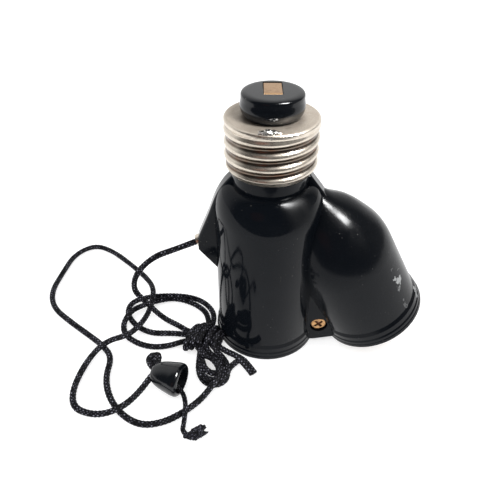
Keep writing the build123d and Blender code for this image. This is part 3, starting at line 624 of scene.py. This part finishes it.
# from the knot, round the thick eye, out over the floor and through the bell to the frayed end
RUN = [
    (-0.0086, -0.0178, 0.00105),
    (-0.0112, -0.0200, 0.00105),
    (-0.0129, -0.0226, 0.00105),
    (-0.0130, -0.0258, 0.00105),
    (-0.0150, -0.0280, 0.00105),
    (-0.0184, -0.0284, 0.00105),
    (-0.0213, -0.0260, 0.00105),
    (-0.0226, -0.0220, 0.00105),
    (-0.0226, -0.0176, 0.00105),
    (-0.0226, -0.0146, 0.0012),
    (-0.0226, -0.0112, 0.0024),
    (-0.0208, -0.0088, 0.0038),
    (-0.0186, -0.0092, 0.0048),
    (-0.0182, -0.0122, 0.0048),
    (-0.0176, -0.0159, 0.0036),
    (-0.0146, -0.0189, 0.0031),
    (-0.0127, -0.0222, 0.0029),
    (-0.0134, -0.0262, 0.0029),
    (-0.0168, -0.0282, 0.0029),
    (-0.0204, -0.0266, 0.0029),
    (-0.0224, -0.0226, 0.0029),
    (-0.0223, -0.0182, 0.0030),
    (-0.0217, -0.0150, 0.0034),
    (-0.0205, -0.0150, 0.0044),
    (-0.0194, -0.0178, 0.0044),
    (-0.0165, -0.0203, 0.0041),
    (-0.0142, -0.0234, 0.0042),
    (-0.0149, -0.0254, 0.0040),
    (-0.0174, -0.0260, 0.0036),
    (-0.0200, -0.0240, 0.0034),
    (-0.0212, -0.0210, 0.0036),
    (-0.0222, -0.0174, 0.0044),
    (-0.0218, -0.0176, 0.0054),
    (-0.0206, -0.0200, 0.0054),
    (-0.0180, -0.0208, 0.0054),
    (-0.0152, -0.0246, 0.0050),
    (-0.0158, -0.0278, 0.0040),
    (-0.0184, -0.0308, 0.0020),
    (-0.0212, -0.0342, 0.00105),
    (-0.0256, -0.0382, 0.00105),
    (-0.0310, -0.0416, 0.00105),
    (-0.0376, -0.0428, 0.00105),
    (-0.0442, -0.0394, 0.00105),
    (-0.0496, -0.0330, 0.00105),
    (-0.0524, -0.0256, 0.00105),
    (-0.0522, -0.0176, 0.00105),
    (-0.0560, -0.0128, 0.00105),
    (-0.0624, -0.0078, 0.00105),
    (-0.0710, -0.0014, 0.00105),
    (-0.0794, 0.0056, 0.00105),
    (-0.0830, 0.0144, 0.00105),
    (-0.0820, 0.0256, 0.00105),
    (-0.0806, 0.0372, 0.00105),
    (-0.0736, 0.0438, 0.00105),
    (-0.0650, 0.0398, 0.00105),
    (-0.0558, 0.0314, 0.00105),
    (-0.0482, 0.0236, 0.00105),
    (-0.0430, 0.0146, 0.0037),
    (-0.0420, 0.0074, 0.0037),
    (-0.0428, 0.0010, 0.0030),
    (-0.0444, -0.0056, 0.0040),
    (-0.0478, -0.0100, 0.0037),
    (-0.0548, -0.0126, 0.0036),
    (-0.0596, -0.0182, 0.0016),
    (-0.0618, -0.0290, 0.00105),
    (-0.0600, -0.0366, 0.00105),
    (-0.0534, -0.0398, 0.0020),
    (-0.0476, -0.0402, 0.0034),
    (-0.0430, -0.0374, 0.0036),
    (-0.0400, -0.0324, 0.0028),
    (-0.0374, -0.0284, 0.0040),
    (-0.0360, -0.0268, 0.0052),
    # through the knob
    (-0.0334, -0.0276, 0.0050),
    (-0.0300, -0.0292, 0.0036),
    # tail
    (-0.0272, -0.0312, 0.0023),
    (-0.0257, -0.0340, 0.0032),
    (-0.0247, -0.0382, 0.0042),
    (-0.0250, -0.0420, 0.0016),
    (-0.0254, -0.0450, 0.00125),
    (-0.0228, -0.0463, 0.0015),
]


def fused(t):
    """The cut end, pressed flat and fused over its last few millimetres."""
    return 1 + 0.52 * np.clip((t - 0.966) / 0.012, 0, 1)


def drawn_tight(t):
    """The tail beyond the knob, drawn thinner by the knot at its end."""
    return 1 - 0.24 * np.clip((t - 0.93) / 0.01, 0, 1)


lead_line = nurbs_line("lead_route", LEAD)
lead, lead_centres = braid("lead_cord", lead_line, materials["braid"], flat=fused, seed=1)
piece(lead, "root", "braid", "pull_cord_lead", "cord_turns", "bundle_cut_end")

run_line = nurbs_line("run_route", RUN)
run, run_centres = braid("pull_cord", run_line, materials["braid"], taper=drawn_tight, seed=2)
piece(run, "root", "braid", "pull_cord_run", "pull_cord_tail", "bundle_eye")

# the wraps that tie the turns together
HITCH = [
    (-0.0270, -0.0124, 0.0012),
    (-0.0276, -0.0152, 0.0022),
    (-0.0272, -0.0146, 0.0046),
    (-0.0258, -0.0106, 0.0060),
    (-0.0240, -0.0066, 0.0050),
    (-0.0230, -0.0048, 0.0024),
    (-0.0238, -0.0072, 0.0012),
    (-0.0254, -0.0120, 0.0012),
    (-0.0256, -0.0148, 0.0024),
    (-0.0250, -0.0136, 0.0052),
    (-0.0236, -0.0098, 0.0064),
    (-0.0218, -0.0062, 0.0052),
    (-0.0208, -0.0046, 0.0024),
    (-0.0216, -0.0072, 0.0012),
    (-0.0230, -0.0120, 0.0012),
    (-0.0234, -0.0152, 0.0026),
    (-0.0228, -0.0136, 0.0056),
    (-0.0212, -0.0098, 0.0066),
    (-0.0196, -0.0066, 0.0054),
    (-0.0188, -0.0050, 0.0024),
    (-0.0194, -0.0074, 0.0012),
    (-0.0206, -0.0118, 0.0012),
    (-0.0208, -0.0148, 0.0026),
    (-0.0202, -0.0138, 0.0058),
    (-0.0186, -0.0106, 0.0064),
    (-0.0174, -0.0076, 0.0054),
    (-0.0168, -0.0062, 0.0026),
    (-0.0172, -0.0084, 0.0012),
    (-0.0182, -0.0120, 0.0014),
    (-0.0184, -0.0146, 0.0032),
    (-0.0176, -0.0134, 0.0056),
    (-0.0160, -0.0106, 0.0056),
    (-0.0152, -0.0086, 0.0040),
    (-0.0156, -0.0100, 0.0022),
    (-0.0166, -0.0132, 0.0022),
]
hitch, _ = braid("cord_hitch", nurbs_line("hitch_route", HITCH), materials["braid"], seed=3)
piece(hitch, "root", "braid", "cord_bundle")

# the folded bight in the knob's narrow end
BIGHT = [
    (-0.0342, -0.0266, 0.0056),
    (-0.0364, -0.0250, 0.0052),
    (-0.0380, -0.0226, 0.0046),
    (-0.0387, -0.0206, 0.0042),
    (-0.0378, -0.0192, 0.0042),
    (-0.0368, -0.0200, 0.0048),
    (-0.0368, -0.0216, 0.0054),
    (-0.0362, -0.0202, 0.0058),
    (-0.0354, -0.0206, 0.0058),
    (-0.0354, -0.0224, 0.0056),
    (-0.0356, -0.0246, 0.0058),
    (-0.0340, -0.0270, 0.0060),
]
BIGHT_RADIUS = 0.00115
bight_line = nurbs_line("bight_route", BIGHT)
bight, _ = braid("bight_cord", bight_line, materials["braid"], radius=BIGHT_RADIUS, seed=4)
piece(bight, "root", "braid", "knob_bight")

TUFT = [
    (-0.0246, -0.0458, 0.00125),
    (-0.0228, -0.0463, 0.0015),
    (-0.0214, -0.0456, 0.0016),
    (-0.0200, -0.0449, 0.0018),
    (-0.0186, -0.0443, 0.0018),
]
TUFT_STEP = 0.00006  # between the mesh's rings
TUFT_COLUMNS = 140


def frayed_knot():
    """The cord's end: pulled tight on itself, then opened into a ragged tuft."""
    centres, run = even(nurbs_line("tuft_route", TUFT), TUFT_STEP)
    t = run / run[-1]
    tangent, across, up = along_frames(centres)
    turn = np.arange(TUFT_COLUMNS) / TUFT_COLUMNS
    angle = 2 * math.pi * turn
    # opens from the cord's own width, with a neck after the knot, and draws in at its end
    wide = 0.80 * MM + 0.72 * MM * np.clip((t - 0.16) / 0.30, 0, 1) ** 0.8
    wide *= 1 - 0.12 * np.sin(math.pi * np.clip((t - 0.28) / 0.14, 0, 1))
    wide *= 1 - 0.30 * np.clip((t - 0.80) / 0.2, 0, 1) ** 1.6
    around = np.cos(angle)[None, :, None] * across[:, None] + np.sin(angle)[None, :, None] * up[:, None]
    place = centres[:, None] + around * wide[:, None, None]
    flat = place.reshape(-1, 3)
    fray = np.clip((t - 0.2) / 0.3, 0, 1)[:, None]
    lump = noise(flat, 2.2 * MM, 5).reshape(place.shape[:2]) * 0.20 * MM
    yarn = np.abs(noise(flat, 0.9 * MM, 6)).reshape(place.shape[:2]) * 0.24 * MM
    strand = np.sin(angle[None, :] * 9 + t[:, None] * 26 + 2.0 * lump / MM * 5) * 0.10 * MM
    place += around * (fray * (lump + yarn) + strand)[:, :, None]
    torn = noise(np.stack([np.cos(angle), np.sin(angle), 0 * angle], axis=1) * MM, 1.1 * MM, 7)
    uneven = np.clip((t - 0.55) / 0.45, 0, 1)[:, None] * torn[None, :] * 0.85 * MM
    place += uneven[:, :, None] * tangent[:, None]
    place[:, :, 2] = np.maximum(place[:, :, 2], 0.1 * MM)
    mesh = skin("end_tuft", place)
    mesh.uv_layers[0].name = "weave"
    return link("end_tuft", mesh, materials["yarn"])


tuft = piece(frayed_knot(), "root", "braid", "end_knot")

# the cord inside the body, from the bush to its knot behind the lever
INNER = [
    (-0.02224, 0.0, 0.03745),
    (-0.01700, 0.0, 0.03990),
    (-0.01220, 0.0, 0.04214),
    (-0.00700, -0.0002, 0.04520),
    (-0.00340, -0.0006, 0.04760),
    (-0.00300, -0.0020, 0.04810),
    (-0.00300, -0.0050, 0.04810),
]
INNER_RADIUS = 0.00096
inner_line = nurbs_line("inner_route", INNER)
inner, _ = braid("inner_pull_cord", inner_line, materials["braid"], radius=INNER_RADIUS, seed=8)
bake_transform(inner)
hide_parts("inner_cord")

# an overhand knot, just behind the lever
STOPPER_CENTRE = (-0.0030, -0.0062, 0.0481)
STOPPER_SCALE = 0.00034
STOPPER_RADIUS = 0.00075
turns = np.linspace(0, 2 * math.pi, 60)
knot_line = np.array(STOPPER_CENTRE) + STOPPER_SCALE * np.stack(
    [
        np.sin(turns) + 2 * np.sin(2 * turns),
        -1.5 * np.sin(3 * turns),
        np.cos(turns) - 2 * np.cos(2 * turns),
    ],
    axis=1,
)
stopper, _ = braid("stopper_knot", knot_line, materials["braid"], radius=STOPPER_RADIUS, seed=9)
piece(stopper, "lever", "braid", "lever_knot")


# ------------------------------------------------------------ screw base
THREAD_PITCH = 25.4 / 7 * MM
THREAD_SWING = 0.42 * MM  # half the height from groove to crest
THREAD_STEP = 0.11 * MM
SHELL_WALL = 0.35 * MM
FLANGE_HOLE = 7.1 * MM  # radius
SHELL_STEPS = 288  # round the shell


def screw_base():
    """The rolled screw shell, with its real right-hand thread, its foot and its flat flange."""
    low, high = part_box("screw_shell")
    crest = high.x
    middle = crest - THREAD_SWING
    foot, top = low.z, high.z
    wall, hole = SHELL_WALL, FLANGE_HOLE
    z_thread = np.arange(foot + 0.9 * MM, top - 1.0 * MM, THREAD_STEP)
    rings, satin, groove = [], [], []
    for k in range(SHELL_STEPS):
        angle = 2 * math.pi * k / SHELL_STEPS
        fade = np.clip((z_thread - foot - 0.7 * MM) / (1.2 * MM), 0, 1)
        fade *= np.clip((top - 1.0 * MM - z_thread) / (1.4 * MM), 0, 1)
        fade = fade * fade * (3 - 2 * fade)
        phase = (z_thread - (top - 2.6 * MM)) / THREAD_PITCH - (angle + math.pi / 2) / (2 * math.pi)
        wave = 1 - 2 * (0.5 - 0.5 * np.cos(2 * math.pi * phase)) ** 1.15
        base = middle + (1 - fade) * np.where(z_thread > (foot + top) / 2, 0.30 * MM, -0.35 * MM)
        lean = 0.07 * MM * (((phase + 0.5) % 1) - 0.5) * 2 * np.clip(0.5 + 0.5 * wave, 0, 1)
        r_out = base + fade * (THREAD_SWING * wave + lean)
        out = [(11.5 * MM, foot), (11.84 * MM, foot + 0.02 * MM), (11.9 * MM, foot + 0.35 * MM)]
        out += list(zip(r_out, z_thread))
        rim = [
            (crest - 0.16 * MM, top - 0.80 * MM),
            (crest - 0.10 * MM, top - 0.55 * MM),
            (crest - 0.22 * MM, top - 0.28 * MM),
            (crest - 0.48 * MM, top - 0.10 * MM),
            (crest - 0.85 * MM, top - 0.02 * MM),
            (crest - 1.3 * MM, top - 0.03 * MM),
            (11.0 * MM, top - 0.02 * MM),
            (9.8 * MM, top),
            (hole + 0.15 * MM, top),
            (hole, top - 0.12 * MM),
            (hole, top - wall),
            (11.3 * MM, top - wall),
        ]
        inside = [(r - wall, z) for r, z in list(zip(r_out, z_thread))[::-1]]
        profile = np.array(out + rim + inside + [(11.5 * MM, foot + 0.35 * MM)])
        r, z = profile[:, 0], profile[:, 1]
        rings.append(np.stack([r * math.cos(angle), r * math.sin(angle), z], axis=1))
        # for each point of the profile: how satin it is, and how deep in a groove
        satin.append([0.15] * len(out) + [0.1, 0.1, 0.1, 0.5, 1.0] + [1.0] * 7 + [0.3] * (len(inside) + 1))
        dip = list((0.5 - 0.5 * np.cos(2 * math.pi * (phase - 0.07))) * fade)
        groove.append([0.3] * 3 + dip + [0.0] * len(rim) + [0.6] * (len(inside) + 1))
    mesh = skin("screw_base", np.array(rings), closed=True)
    for name, values in (("satin", satin), ("groove", groove)):
        layer = mesh.attributes.new(name, "FLOAT", "POINT")
        layer.data.foreach_set("value", np.array(values, np.float32).ravel())
    return link("screw_base", mesh, materials["nickel"])


piece(screw_base(), "root", "nickel", "screw_shell")

SOLDER_CENTRE = (-0.9, -11.3, 79.45)  # mm
SOLDER_SIZE = (2.7, 1.5, 0.75)  # mm, from the centre
FLANGE_EDGE = -12.1 * MM  # y beyond which the solder has run down


def solder_blob():
    """The lump of solder on the flange, run down over its rim."""
    centre = np.array(SOLDER_CENTRE) * MM
    rise = np.linspace(-math.pi / 2 + 0.05, math.pi / 2 - 0.05, 40)
    turn = np.linspace(0, 2 * math.pi, 90, endpoint=False)
    level, around = np.meshgrid(rise, turn, indexing="ij")
    way = np.stack([np.cos(level) * np.cos(around), np.cos(level) * np.sin(around), np.sin(level)], axis=2)
    size = np.array(SOLDER_SIZE) * MM
    flat = way.reshape(-1, 3)
    lump = noise(flat * 2.0, 1.9, 11).reshape(way.shape[:2]) * 0.20
    crease = noise(flat * 2.0, 0.7, 12).reshape(way.shape[:2]) * 0.07
    place = centre + way * size * (1 + lump + crease)[:, :, None]
    over = np.clip(FLANGE_EDGE - place[:, :, 1], 0, None)
    place[:, :, 2] -= 1.1 * over
    return link("solder_blob", skin("solder_blob", place), materials["solder"])


piece(solder_blob(), "root", "solder", "solder_joint")


# ------------------------------------------------------------ studio
def sheet_of(name, x, y, z, material):
    """A level rectangle for the studio, over a range of x and of y."""
    mesh = bpy.data.meshes.new(name)
    corners = [(x[0], y[0], z), (x[1], y[0], z), (x[1], y[1], z), (x[0], y[1], z)]
    mesh.from_pydata(corners, [], [[0, 1, 2, 3]])
    obj = link(name, mesh, material)
    return obj


floor_shader = Shader("floor", (0.88, 0.88, 0.88), 0.6)
floor_shader.color(floor_shader.mix(floor_shader.noise(30, 3), (0.56, 0.56, 0.56), (0.54, 0.54, 0.545)))
floor_shader.out.inputs["Emission Color"].default_value = (1, 1, 1, 1)
floor_shader.out.inputs["Emission Strength"].default_value = 0.62
floor_shader.bump(floor_shader.noise(600, 3), 0.00002, 0.2)
sheet_of("floor", (-4, 4), (-4, 4), -0.02 * MM, floor_shader.material)

# a dark card in front of the part, which only its polished surfaces see
dark = Shader("dark_card", (0.004, 0.004, 0.005), 0.9)
card = sheet_of("dark_card", (-3.9, 3.9), (-0.108, -3.9), 0.4 * MM, dark.material)
card.visible_camera = False
card.visible_diffuse = False
card.visible_shadow = False

# a white sky for the light; for reflections a dark one, with a pale far side and a warm patch
SKY_FAR = (-0.30, 0.95, 0.0)
SKY_WARM = Vector((-0.42, -0.86, 0.28)).normalized()

world = bpy.data.worlds.new("studio")
scene.world = world
world.use_nodes = True
tree = world.node_tree
back = tree.nodes["Background"]
back.inputs["Color"].default_value = (1.0, 1.0, 1.0, 1)
back.inputs["Strength"].default_value = 1.15
way = tree.nodes.new("ShaderNodeTexCoord").outputs["Generated"]


def sky_range(value, *numbers):
    """A value brought smoothly from one range to another."""
    made = tree.nodes.new("ShaderNodeMapRange")
    made.interpolation_type = "SMOOTHSTEP"
    for key, number in zip(("From Min", "From Max", "To Min", "To Max"), numbers):
        made.inputs[key].default_value = number
    tree.links.new(value, made.inputs["Value"])
    return made.outputs[0]


def sky_along(direction):
    """How far a ray points along a direction."""
    made = tree.nodes.new("ShaderNodeVectorMath")
    made.operation = "DOT_PRODUCT"
    tree.links.new(way, made.inputs[0])
    made.inputs[1].default_value = direction
    return made.outputs["Value"]


warm = tree.nodes.new("ShaderNodeMix")
warm.data_type = "RGBA"
warm.inputs[6].default_value = (1.0, 1.0, 1.0, 1)
warm.inputs[7].default_value = (7.0, 1.9, 0.9, 1)
tree.links.new(sky_range(sky_along(SKY_WARM), 0.955, 0.99, 0.0, 1.0), warm.inputs["Factor"])

split = tree.nodes.new("ShaderNodeSeparateXYZ")
tree.links.new(way, split.inputs[0])
pale = tree.nodes.new("ShaderNodeMath")
pale.operation = "MAXIMUM"
tree.links.new(sky_range(sky_along(SKY_FAR), -0.05, 0.55, 0.0, 1.0), pale.inputs[0])
tree.links.new(sky_range(split.outputs[0], 0.55, 1.0, 0.035, 0.3), pale.inputs[1])

glossy_sky = tree.nodes.new("ShaderNodeBackground")
tree.links.new(warm.outputs[2], glossy_sky.inputs["Color"])
tree.links.new(pale.outputs[0], glossy_sky.inputs["Strength"])
skies = tree.nodes.new("ShaderNodeMixShader")
tree.links.new(tree.nodes.new("ShaderNodeLightPath").outputs["Is Glossy Ray"], skies.inputs[0])
tree.links.new(back.outputs[0], skies.inputs[1])
tree.links.new(glossy_sky.outputs[0], skies.inputs[2])
tree.links.new(skies.outputs[0], tree.nodes["World Output"].inputs[0])


def softbox(name, place, aim, wide, tall, power, seen):
    """An area light: one that is seen only shows in polish, the other only lights."""
    data = bpy.data.lights.new(name, "AREA")
    data.shape = "RECTANGLE"
    data.size, data.size_y, data.energy = wide, tall, power
    lamp = bpy.data.objects.new(name, data)
    scene.collection.objects.link(lamp)
    lamp.location = place
    lamp.rotation_euler = (Vector(aim) - Vector(place)).to_track_quat("-Z", "Y").to_euler()
    lamp.visible_glossy = seen
    lamp.visible_diffuse = not seen


softbox("key", (-0.35, -0.45, 0.9), (0, 0, 0.03), 0.8, 0.8, 4.0, seen=False)
softbox("window", (0.34, -0.19, 0.63), (0.02, 0, 0.05), 0.17, 0.28, 19.0, seen=True)

scene.view_settings.view_transform = "Standard"
scene.view_settings.look = "None"

bpy.context.view_layer.update()
